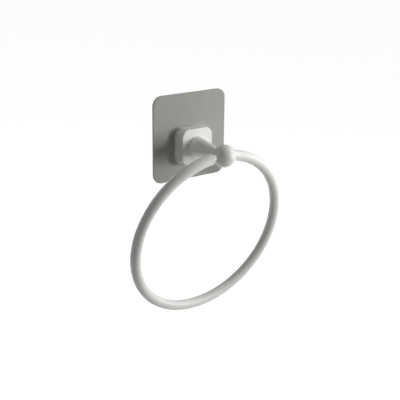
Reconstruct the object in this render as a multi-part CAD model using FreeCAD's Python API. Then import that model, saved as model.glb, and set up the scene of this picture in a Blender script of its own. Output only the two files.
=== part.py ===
import FreeCAD, Part
import math
import os
from FreeCAD import Vector

# Towel ring for a wall: a self-adhesive plate carries a two-part square block, a tapered post
# ends in a ball, and an open ring turns on its two pins in the bore of that ball.
# Millimetres. Origin: centre of the adhesive back face. +Z is up and the room is towards -Y.

# adhesive pad and backing plate
plate_size = 80.0
plate_corner = 9.0
adhesive_thickness = 0.5
plate_thickness = 1.0
plate_edge_round = 0.25

# stud, washer and thin nut that hold the block
stud_diameter = 5.0
stud_flange_size = 14.0
stud_flange_thickness = 0.5
stud_past_nut = 0.5
nut_across_flats = 8.0
nut_height = 2.7
nut_chamfer = 0.4
stud_washer_diameter = 11.0
stud_washer_thickness = 0.8

# square block: a tray against the plate and a cover that snaps over it
axis_drop = 7.7
block_size = 33.6
block_corner = 8.0
block_wall = 1.8
block_front_wall = 2.4
block_front_round = 1.0
tray_depth = 4.0
tray_floor = 2.0
cover_depth = 7.6
seam_chamfer = 0.25
lip_wall = 1.2
lip_rise = 2.0
lip_clearance = 0.1
snap_width = 7.0
snap_height = 0.9
snap_reach = 0.6
snap_clearance = 0.12
rib_thickness = 1.2
tray_rib_height = 1.4
boss_ring_wall = 1.4
boss_ring_rise = 2.2

# post: spigot, cone, neck and ball in one moulding
spigot_diameter = 11.0
spigot_flat_depth = 1.5
spigot_clearance = 0.1
spigot_set_back = 0.2
post_base_diameter = 18.9
post_base_land = 0.6
neck_diameter = 7.8
neck_round = 0.6
ball_diameter = 20.1
ball_reach = 52.5

# screw and washer that pull the post against the cover
screw_diameter = 3.9
screw_length = 18.0
screw_point = 2.0
screw_head_diameter = 7.4
screw_head_height = 1.8
screw_drive_width = 4.2
screw_drive_slot = 0.9
screw_drive_depth = 1.0
screw_hole_clearance = 0.05
screw_washer_diameter = 9.5
screw_washer_thickness = 0.6

# ring and its pivot
ring_inner_diameter = 146.5
ring_tube_diameter = 9.7
ring_side_play = 2.5
ring_rest_slide = 2.35
ring_rest_tilt = 13.7
pivot_pin_diameter = 6.0
pivot_pin_reach = 7.6
pivot_pin_root = 3.0
pivot_pin_chamfer = 0.6
pivot_clearance = 0.05

# general clearance of a fastener in its hole
hole_clearance = 0.2

# heights above the wall, worked out from the pieces stacked on it
plate_back = adhesive_thickness
plate_front = plate_back + plate_thickness
tray_floor_top = plate_front + tray_floor
seam_height = plate_front + tray_depth
block_front = seam_height + cover_depth
cover_inside_top = block_front - block_front_wall
nut_base = tray_floor_top + stud_washer_thickness
stud_tip = nut_base + nut_height + stud_past_nut
cover_inside = block_size - 2 * block_wall
cover_inside_corner = block_corner - block_wall
lip_outside = cover_inside - 2 * lip_clearance
lip_outside_corner = cover_inside_corner - lip_clearance
lip_top = seam_height + lip_rise
ball_radius = ball_diameter / 2
ring_tube_radius = ring_tube_diameter / 2
ring_radius = (ring_inner_diameter + ring_tube_diameter) / 2
ring_end = ball_radius + ring_side_play


def square_prism(size, corner, low, high):
    """A square prism with rounded corners, centred on the axis that points out of the wall."""
    prism = Part.makeBox(size, size, high - low, Vector(-size / 2, -size / 2, low))
    upright = [edge for edge in prism.Edges if abs(edge.tangentAt(edge.FirstParameter).z) > 0.99]
    return prism.makeFillet(corner, upright)


def disc(diameter, low, high):
    """A cylinder on the axis that points out of the wall."""
    return Part.makeCylinder(diameter / 2, high - low, Vector(0, 0, low))


def slab(length, width, low, high, centre_x=0.0, centre_y=0.0):
    """A plain rectangular block, given by its centre and its two heights above the wall."""
    corner = Vector(centre_x - length / 2, centre_y - width / 2, low)
    return Part.makeBox(length, width, high - low, corner)


def edges_at_height(shape, height):
    """The edges of a shape that lie flat at one height above the wall."""
    return [edge for edge in shape.Edges
            if abs(edge.BoundBox.ZMin - height) < 1e-4 and abs(edge.BoundBox.ZMax - height) < 1e-4]


def turned(shape, angle):
    """A copy of a shape, turned about the axis that points out of the wall."""
    copy = shape.copy()
    copy.rotate(Vector(0, 0, 0), Vector(0, 0, 1), angle)
    return copy


def on_block_axis(shape):
    """Moves a shape from the plate's centre down to the axis of block, post and stud."""
    shape.translate(Vector(0, -axis_drop, 0))
    return shape


def adhesive_pad():
    return square_prism(plate_size, plate_corner, 0, plate_back)


def backing_plate():
    plate = square_prism(plate_size, plate_corner, plate_back, plate_front)
    plate = plate.makeFillet(plate_edge_round, edges_at_height(plate, plate_front))
    # a square pocket in the back holds the flange of the stud and stops it from turning
    pocket_size = stud_flange_size + 2 * hole_clearance
    pocket = slab(pocket_size, pocket_size, plate_back, plate_back + stud_flange_thickness)
    hole = disc(stud_diameter + 2 * hole_clearance, plate_back, plate_front)
    return plate.cut(on_block_axis(pocket.fuse(hole)))


def mounting_stud():
    flange = slab(stud_flange_size, stud_flange_size, plate_back, plate_back + stud_flange_thickness)
    shank = disc(stud_diameter, plate_back, stud_tip)
    shank = shank.makeChamfer(stud_past_nut, edges_at_height(shank, stud_tip))
    return on_block_axis(flange.fuse(shank).removeSplitter())


def flat_washer(outer, bore, low, thickness):
    return disc(outer, low, low + thickness).cut(disc(bore, low, low + thickness))


def stud_washer():
    bore = stud_diameter + 2 * hole_clearance
    return on_block_axis(flat_washer(stud_washer_diameter, bore, tray_floor_top, stud_washer_thickness))


def thin_nut():
    across_corners = nut_across_flats / math.cos(math.radians(30))
    corners = []
    for step in range(7):
        angle = math.radians(60 * step)
        corners.append(Vector(across_corners / 2 * math.cos(angle), across_corners / 2 * math.sin(angle), nut_base))
    hexagon = Part.Face(Part.makePolygon(corners)).extrude(Vector(0, 0, nut_height))
    # a turned blank gives the nut its rounded-off corners
    rise = nut_chamfer * math.tan(math.radians(30))
    half = across_corners / 2
    top = nut_base + nut_height
    profile = [Vector(0, 0, nut_base), Vector(half, 0, nut_base), Vector(half, 0, top - rise),
               Vector(half - nut_chamfer, 0, top), Vector(0, 0, top), Vector(0, 0, nut_base)]
    blank = Part.Face(Part.makePolygon(profile)).revolve(Vector(0, 0, 0), Vector(0, 0, 1), 360)
    # the thread is left plain: the bore only clears the stud
    nut = hexagon.common(blank).cut(disc(stud_diameter + 2 * screw_hole_clearance, nut_base, top))
    return on_block_axis(nut)


def snap_windows():
    """The four openings in the tray's lip that the cover's snaps click into."""
    half = lip_outside / 2
    middle = seam_height + lip_rise / 2
    window = slab(snap_width + 2 * snap_clearance, 2 * lip_wall, middle - snap_height / 2 - snap_clearance,
                  middle + snap_height / 2 + snap_clearance, 0, half)
    windows = window
    for step in range(1, 4):
        windows = windows.fuse(turned(window, 90 * step))
    return windows


def base_tray():
    tray = square_prism(block_size, block_corner, plate_front, seam_height)
    tray = tray.makeChamfer(seam_chamfer, edges_at_height(tray, seam_height))
    lip = square_prism(lip_outside, lip_outside_corner, tray_floor_top, lip_top)
    lip = lip.makeChamfer(seam_chamfer, edges_at_height(lip, lip_top))
    tray = tray.fuse(lip)
    inside = lip_outside - 2 * lip_wall
    tray = tray.cut(square_prism(inside, lip_outside_corner - lip_wall, tray_floor_top, lip_top))
    # ribs on the floor run from the washer's land to the lip, two each way
    rib_start = stud_washer_diameter / 2 + 2 * hole_clearance
    rib_length = inside / 2 - rib_start + lip_wall / 2
    rib = slab(rib_length, rib_thickness, tray_floor_top - hole_clearance, tray_floor_top + tray_rib_height,
               rib_start + rib_length / 2, 0)
    for step in range(4):
        tray = tray.fuse(turned(rib, 90 * step))
    tray = tray.cut(snap_windows())
    tray = tray.cut(disc(stud_diameter + 2 * hole_clearance, plate_front, tray_floor_top))
    return on_block_axis(tray.removeSplitter())


def spigot_section(clearance, low, high):
    """The post's spigot, or the hole for it: round, with one flat below that stops the post from turning."""
    diameter = spigot_diameter + 2 * clearance
    flat = -(spigot_diameter / 2 - spigot_flat_depth) - clearance
    keep = slab(diameter, diameter, low, high, 0, flat + diameter / 2)
    return disc(diameter, low, high).common(keep)


def block_cover():
    cover = square_prism(block_size, block_corner, seam_height, block_front)
    cover = cover.makeFillet(block_front_round, edges_at_height(cover, block_front))
    cover = cover.makeChamfer(seam_chamfer, edges_at_height(cover, seam_height))
    cover = cover.cut(square_prism(cover_inside, cover_inside_corner, seam_height, cover_inside_top))
    # a ring round the screw's washer and four ribs stiffen the front wall from behind
    ring_bore = screw_washer_diameter + 2 * hole_clearance
    ring_outer = ring_bore + 2 * boss_ring_wall
    low = cover_inside_top - boss_ring_rise
    cover = cover.fuse(disc(ring_outer, low, cover_inside_top).cut(disc(ring_bore, low, cover_inside_top)))
    rib_start = ring_bore / 2 + boss_ring_wall / 2
    rib_length = (cover_inside + block_wall) / 2 - rib_start
    rib = slab(rib_length, rib_thickness, low, cover_inside_top, rib_start + rib_length / 2, 0)
    for step in range(4):
        cover = cover.fuse(turned(rib, 90 * step))
    # four wedge-shaped snaps on the inner walls
    middle = seam_height + lip_rise / 2
    wall = cover_inside / 2
    reach = wall - lip_clearance - snap_reach
    wedge = [Vector(0, wall + block_wall / 2, middle - snap_height / 2),
             Vector(0, wall, middle - snap_height / 2),
             Vector(0, reach, middle),
             Vector(0, reach, middle + snap_height / 2),
             Vector(0, wall + block_wall / 2, middle + snap_height / 2),
             Vector(0, wall + block_wall / 2, middle - snap_height / 2)]
    snap = Part.Face(Part.makePolygon(wedge)).extrude(Vector(snap_width, 0, 0))
    snap.translate(Vector(-snap_width / 2, 0, 0))
    for step in range(4):
        cover = cover.fuse(turned(snap, 90 * step))
    cover = cover.cut(spigot_section(spigot_clearance, cover_inside_top, block_front))
    return on_block_axis(cover.removeSplitter())


def post():
    neck_radius = neck_diameter / 2
    # the height at which the neck's side meets the ball, later softened by a small hollow round
    ball_foot = ball_reach - math.sqrt(ball_radius ** 2 - neck_radius ** 2)
    profile = [Vector(0, 0, block_front), Vector(post_base_diameter / 2, 0, block_front),
               Vector(post_base_diameter / 2, 0, block_front + post_base_land),
               Vector(neck_radius, 0, ball_foot), Vector(0, 0, ball_foot), Vector(0, 0, block_front)]
    body = Part.Face(Part.makePolygon(profile)).revolve(Vector(0, 0, 0), Vector(0, 0, 1), 360)
    body = body.fuse(disc(neck_diameter, ball_foot, ball_reach))
    body = body.fuse(Part.makeSphere(ball_radius, Vector(0, 0, ball_reach))).removeSplitter()
    foot = [edge for edge in edges_at_height(body, ball_foot) if edge.Length > neck_diameter]
    body = body.makeFillet(neck_round, foot)
    body = body.fuse(spigot_section(0, cover_inside_top + spigot_set_back, block_front))
    # bore for the two pins of the ring, right through the ball
    bore_radius = pivot_pin_diameter / 2 + pivot_clearance
    bore = Part.makeCylinder(bore_radius, ball_diameter, Vector(-ball_radius, 0, ball_reach), Vector(1, 0, 0))
    body = body.cut(bore)
    # blind core for the screw that comes from inside the block
    core_start = cover_inside_top + spigot_set_back
    core_end = cover_inside_top - screw_washer_thickness + screw_length + hole_clearance
    body = body.cut(disc(screw_diameter + 2 * screw_hole_clearance, core_start, core_end))
    return on_block_axis(body)


def screw_washer():
    low = cover_inside_top - screw_washer_thickness
    bore = screw_diameter + 2 * hole_clearance
    return on_block_axis(flat_washer(screw_washer_diameter, bore, low, screw_washer_thickness))


def post_screw():
    seat = cover_inside_top - screw_washer_thickness
    head = disc(screw_head_diameter, seat - screw_head_height, seat)
    head = head.makeFillet(screw_head_height / 2, edges_at_height(head, seat - screw_head_height))
    shank = disc(screw_diameter, seat, seat + screw_length - screw_point)
    point = Part.makeCone(screw_diameter / 2, screw_diameter / 8, screw_point,
                          Vector(0, 0, seat + screw_length - screw_point))
    screw = head.fuse(shank).fuse(point)
    low = seat - screw_head_height
    for length, width in ((screw_drive_width, screw_drive_slot), (screw_drive_slot, screw_drive_width)):
        screw = screw.cut(slab(length, width, low, low + screw_drive_depth))
    return on_block_axis(screw.removeSplitter())


def ring():
    # the ring is drawn about the ball's centre, hanging straight down, and slid and tilted last
    tube = Part.makeTorus(ring_radius, ring_tube_radius, Vector(0, -ring_radius, 0), Vector(0, 0, 1))
    # its two ends are hollowed to the ball's curve and stand clear of the ball by the side play
    tube = tube.cut(Part.makeSphere(ring_end))
    for side in (-1, 1):
        tip = side * (ball_radius - pivot_pin_reach)
        root = side * (ring_end + pivot_pin_root)
        pin = Part.makeCylinder(pivot_pin_diameter / 2, abs(root - tip), Vector(tip, 0, 0), Vector(side, 0, 0))
        end = [edge for edge in pin.Edges
               if abs(edge.BoundBox.XMin - tip) < 1e-4 and abs(edge.BoundBox.XMax - tip) < 1e-4]
        tube = tube.fuse(pin.makeChamfer(pivot_pin_chamfer, end))
    tube = tube.removeSplitter()
    tube.translate(Vector(-ring_rest_slide, 0, 0))
    tube.rotate(Vector(0, 0, 0), Vector(1, 0, 0), ring_rest_tilt)
    tube.translate(Vector(0, 0, ball_reach))
    return on_block_axis(tube)


pieces = {
    "adhesive_pad": adhesive_pad,
    "backing_plate": backing_plate,
    "mounting_stud": mounting_stud,
    "base_tray": base_tray,
    "stud_washer": stud_washer,
    "thin_nut": thin_nut,
    "block_cover": block_cover,
    "post": post,
    "screw_washer": screw_washer,
    "post_screw": post_screw,
    "ring": ring,
}

os.makedirs("parts", exist_ok=True)
for name, build in pieces.items():
    shape = build()
    # every piece is drawn with Z out of the wall, and stands up here with Z upwards
    shape.rotate(Vector(0, 0, 0), Vector(1, 0, 0), 90)
    if not shape.isValid() or len(shape.Solids) != 1:
        raise ValueError(name + " is not one sound solid")
    shape.Solids[0].exportStep("parts/" + name + ".step")
    box = shape.BoundBox
    print("%-14s %9.1f mm3  x %.1f..%.1f  y %.1f..%.1f  z %.1f..%.1f" % (
        name, shape.Volume, box.XMin, box.XMax, box.YMin, box.YMax, box.ZMin, box.ZMax))
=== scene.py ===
import math
import bpy
from mathutils import Matrix, Vector

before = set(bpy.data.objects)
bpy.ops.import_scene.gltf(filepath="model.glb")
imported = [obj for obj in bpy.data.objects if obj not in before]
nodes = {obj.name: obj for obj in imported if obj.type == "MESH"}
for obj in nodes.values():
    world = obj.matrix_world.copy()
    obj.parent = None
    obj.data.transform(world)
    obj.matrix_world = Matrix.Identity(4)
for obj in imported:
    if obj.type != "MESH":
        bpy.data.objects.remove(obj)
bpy.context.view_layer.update()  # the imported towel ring: every solid is a node that sits where it belongs
print("towel ring:", len(nodes), "solids loaded")


# what every material is built from: noise in cells to the metre, spread over two colours and a roughness

noiseReach = {
    "colour": (0.3, 0.7),  # the noise values at which the dark and the light colour are reached
    "roughness": (0.35, 0.65),  # the same for the lowest and the highest roughness
}


def addNoise(tree, scale, detail, stretch=(1, 1, 1)):
    place = tree.nodes.new("ShaderNodeTexCoord")
    mapping = tree.nodes.new("ShaderNodeMapping")
    mapping.inputs["Scale"].default_value = stretch
    noise = tree.nodes.new("ShaderNodeTexNoise")
    noise.inputs["Scale"].default_value = scale
    noise.inputs["Detail"].default_value = detail
    tree.links.new(place.outputs["Object"], mapping.inputs["Vector"])
    tree.links.new(mapping.outputs["Vector"], noise.inputs["Vector"])
    return noise.outputs["Fac"]


def setColour(tree, shader, noise, look):
    ramp = tree.nodes.new("ShaderNodeValToRGB")
    first, second = ramp.color_ramp.elements
    first.position, second.position = noiseReach["colour"]
    first.color = (*look["dark"], 1)
    second.color = (*look["light"], 1)
    tree.links.new(noise, ramp.inputs["Fac"])
    tree.links.new(ramp.outputs["Color"], shader.inputs["Base Color"])


def setRoughness(tree, shader, noise, look):
    spread = tree.nodes.new("ShaderNodeMapRange")
    fromLow, fromHigh = noiseReach["roughness"]
    low, high = look["roughness"]
    spread.inputs["From Min"].default_value = fromLow
    spread.inputs["From Max"].default_value = fromHigh
    spread.inputs["To Min"].default_value = low
    spread.inputs["To Max"].default_value = high
    tree.links.new(noise, spread.inputs["Value"])
    tree.links.new(spread.outputs["Result"], shader.inputs["Roughness"])


def setBump(tree, shader, noise, look):
    bump = tree.nodes.new("ShaderNodeBump")
    bump.inputs["Distance"].default_value = look["bumpDepth"]
    bump.inputs["Strength"].default_value = look["bumpStrength"]
    tree.links.new(noise, bump.inputs["Height"])
    tree.links.new(bump.outputs["Normal"], shader.inputs["Normal"])


def makeMaterial(name, look):
    material = bpy.data.materials.new(name)
    material.use_nodes = True
    tree = material.node_tree
    shader = tree.nodes["Principled BSDF"]
    noises = {key: addNoise(tree, **values) for key, values in look["noises"].items()}
    setColour(tree, shader, noises[look["colourFrom"]], look)
    setRoughness(tree, shader, noises[look["roughnessFrom"]], look)
    setBump(tree, shader, noises[look["bumpFrom"]], look)
    for socket, value in look["constants"].items():
        shader.inputs[socket].default_value = value
    return material


def dress(material, *names):
    for name in names:
        for holder in nodes[name].material_slots:
            holder.material = material


# white mouldings: tray, cover, post and ring

moulding = {
    "light": (0.862, 0.868, 0.828),
    "dark": (0.832, 0.838, 0.799),
    "roughness": (0.30, 0.38),
    "bumpDepth": 0.000012,
    "bumpStrength": 0.2,
    "noises": {
        "clouds": {"scale": 55, "detail": 3},  # broad clouds from the flow of the plastic
        "skin": {"scale": 1400, "detail": 2},  # fine satin skin of the mould
    },
    "colourFrom": "clouds",
    "roughnessFrom": "clouds",
    "bumpFrom": "skin",
    "constants": {"IOR": 1.46},
}

dress(makeMaterial("satinWhiteMoulding", moulding), "base_tray", "block_cover", "post", "ring")
print("white mouldings dressed")


# silver-grey film on the backing plate

film = {
    "light": (0.410, 0.412, 0.382),
    "dark": (0.348, 0.349, 0.323),
    "roughness": (0.50, 0.64),
    "bumpDepth": 0.00004,
    "bumpStrength": 0.4,
    "noises": {
        "grain": {"scale": 1100, "detail": 3},
        "clouds": {"scale": 160, "detail": 2},
    },
    "colourFrom": "grain",
    "roughnessFrom": "clouds",
    "bumpFrom": "grain",
    "constants": {"Specular IOR Level": 0.25},
}

dress(makeMaterial("silverGreyFilm", film), "backing_plate")


# clear gel behind the plate

gel = {
    "light": (0.80, 0.81, 0.79),
    "dark": (0.74, 0.75, 0.73),
    "roughness": (0.1, 0.2),
    "bumpDepth": 0.0001,
    "bumpStrength": 0.3,
    "noises": {"ripple": {"scale": 120, "detail": 2}},
    "colourFrom": "ripple",
    "roughnessFrom": "ripple",
    "bumpFrom": "ripple",
    "constants": {},
}

dress(makeMaterial("clearGel", gel), "adhesive_pad")


# bright zinc on the stud, nut, screw and washers

zinc = {
    "light": (0.70, 0.71, 0.73),
    "dark": (0.58, 0.59, 0.61),
    "roughness": (0.22, 0.38),
    "bumpDepth": 0.00002,
    "bumpStrength": 0.3,
    "noises": {"scratches": {"scale": 900, "detail": 4, "stretch": (1, 1, 6)}},
    "colourFrom": "scratches",
    "roughnessFrom": "scratches",
    "bumpFrom": "scratches",
    "constants": {"Metallic": 1},
}

zincPieces = ("mounting_stud", "stud_washer", "thin_nut", "screw_washer", "post_screw")
dress(makeMaterial("brightZinc", zinc), *zincPieces)
print("plate, gel and fasteners dressed")


# floor well below the ring, the white room and the lamps

studio = {
    "floorHeight": -0.50,
    "floorSize": 14,
    "floorColour": (0.8, 0.8, 0.8),
    "floorGlow": 0.97,  # only seen by the camera and in reflections: it keeps the floor white
    "fill": 0.01,  # light from the room itself
    "lampAim": (0, -0.03, -0.05),
    "lamps": {
        # direction to the lamp in degrees, distance and size in metres, and how white it lights a surface
        "frontKey": {"azimuth": 36, "elevation": 6, "distance": 0.6, "size": 0.15, "level": 0.441},
        "rightPanel": {"azimuth": 65, "elevation": 0, "distance": 1.4, "size": 0.55, "level": 0.274},
        "upperSide": {"azimuth": 65, "elevation": 35, "distance": 0.6, "size": 0.2, "level": 0.315},
        "overhead": {"azimuth": 0, "elevation": 89, "distance": 1.4, "size": 0.9, "level": 0.175},
        "leftPanel": {"azimuth": -90, "elevation": 0, "distance": 1.4, "size": 0.9, "level": 0.080},
        "behind": {"azimuth": 180, "elevation": 5, "distance": 1.4, "size": 0.9, "level": 0.300},
    },
}


# 1 for a ray from the camera, a reflection or a clear part, and 0 for a ray that lights a surface
def addSeen(tree):
    path = tree.nodes.new("ShaderNodeLightPath")
    seen = path.outputs["Is Camera Ray"]
    for ray in ("Is Glossy Ray", "Is Transmission Ray"):
        either = tree.nodes.new("ShaderNodeMath")
        either.operation = "MAXIMUM"
        tree.links.new(seen, either.inputs[0])
        tree.links.new(path.outputs[ray], either.inputs[1])
        seen = either.outputs[0]
    return seen


def makeRoom():
    world = bpy.data.worlds.new("whiteRoom")
    world.use_nodes = True
    bpy.context.scene.world = world
    tree = world.node_tree
    room = tree.nodes["Background"]
    room.inputs["Color"].default_value = (1, 1, 1, 1)
    room.inputs["Strength"].default_value = studio["fill"]
    white = tree.nodes.new("ShaderNodeBackground")
    white.inputs["Color"].default_value = (1, 1, 1, 1)
    mix = tree.nodes.new("ShaderNodeMixShader")
    tree.links.new(addSeen(tree), mix.inputs[0])
    tree.links.new(room.outputs[0], mix.inputs[1])
    tree.links.new(white.outputs[0], mix.inputs[2])
    tree.links.new(mix.outputs[0], tree.nodes["World Output"].inputs["Surface"])


def makeFloorPaint():
    material = bpy.data.materials.new("paleFloor")
    material.use_nodes = True
    material.cycles.emission_sampling = "NONE"  # the glow lights nothing, so no light is looked for in it
    tree = material.node_tree
    tree.nodes.remove(tree.nodes["Principled BSDF"])
    paint = tree.nodes.new("ShaderNodeBsdfDiffuse")
    paint.inputs["Color"].default_value = (*studio["floorColour"], 1)
    glow = tree.nodes.new("ShaderNodeEmission")
    glow.inputs["Strength"].default_value = studio["floorGlow"]
    dark = tree.nodes.new("ShaderNodeEmission")
    dark.inputs["Strength"].default_value = 0
    seenGlow = tree.nodes.new("ShaderNodeMixShader")
    both = tree.nodes.new("ShaderNodeAddShader")
    tree.links.new(addSeen(tree), seenGlow.inputs[0])
    tree.links.new(dark.outputs[0], seenGlow.inputs[1])
    tree.links.new(glow.outputs[0], seenGlow.inputs[2])
    tree.links.new(paint.outputs[0], both.inputs[0])
    tree.links.new(seenGlow.outputs[0], both.inputs[1])
    tree.links.new(both.outputs[0], tree.nodes["Material Output"].inputs["Surface"])
    return material


def makeFloor():
    half = studio["floorSize"] / 2
    height = studio["floorHeight"]
    mesh = bpy.data.meshes.new("floor")
    corners = [(x * half, y * half, height) for x, y in ((-1, -1), (1, -1), (1, 1), (-1, 1))]
    mesh.from_pydata(corners, [], [(0, 1, 2, 3)])
    mesh.materials.append(makeFloorPaint())
    floor = bpy.data.objects.new("floor", mesh)
    bpy.context.scene.collection.objects.link(floor)


# azimuth 0 is the front, where -Y points, and grows towards +X
def towards(azimuth, elevation):
    a = math.radians(azimuth)
    e = math.radians(elevation)
    return Vector((math.sin(a) * math.cos(e), -math.cos(a) * math.cos(e), math.sin(e)))


def addLamp(name, azimuth, elevation, distance, size, level):
    light = bpy.data.lights.new(name, "AREA")
    light.shape = "SQUARE"
    light.size = size
    light.energy = level * (math.pi * distance) ** 2  # level 1 lights a white surface as white
    lamp = bpy.data.objects.new(name, light)
    back = towards(azimuth, elevation)
    lamp.location = Vector(studio["lampAim"]) + back * distance
    lamp.rotation_mode = "QUATERNION"
    lamp.rotation_quaternion = back.to_track_quat("Z", "Y")
    bpy.context.scene.collection.objects.link(lamp)


makeRoom()
makeFloor()
for lampName, values in studio["lamps"].items():
    addLamp(lampName, **values)
print("floor, room and lamps set")


# camera, fitted to the plate's edges, the block, the ball and both outlines of the ring

shot = {
    "azimuth": -37.37,
    "elevation": 18.08,
    "roll": 0.66,
    "distance": 0.829,
    "lookAt": (0.01397, 0.0004, -0.06467),
    "lens": 79.09,
    "sensor": 36,
    "nearest": 0.01,
    "farthest": 50,
}


def makeCamera():
    data = bpy.data.cameras.new("camera")
    data.lens = shot["lens"]
    data.sensor_width = shot["sensor"]
    data.clip_start = shot["nearest"]
    data.clip_end = shot["farthest"]
    camera = bpy.data.objects.new("camera", data)
    bpy.context.scene.collection.objects.link(camera)
    back = towards(shot["azimuth"], shot["elevation"])
    level = towards(shot["azimuth"] + 90, 0)
    right = Matrix.Rotation(math.radians(shot["roll"]), 3, back) @ level
    up = back.cross(right)
    place = Matrix((right, up, back)).transposed().to_4x4()
    place.translation = Vector(shot["lookAt"]) + back * shot["distance"]
    camera.matrix_world = place
    bpy.context.scene.camera = camera


makeCamera()
bpy.context.scene.view_settings.view_transform = "Standard"
print("camera set")
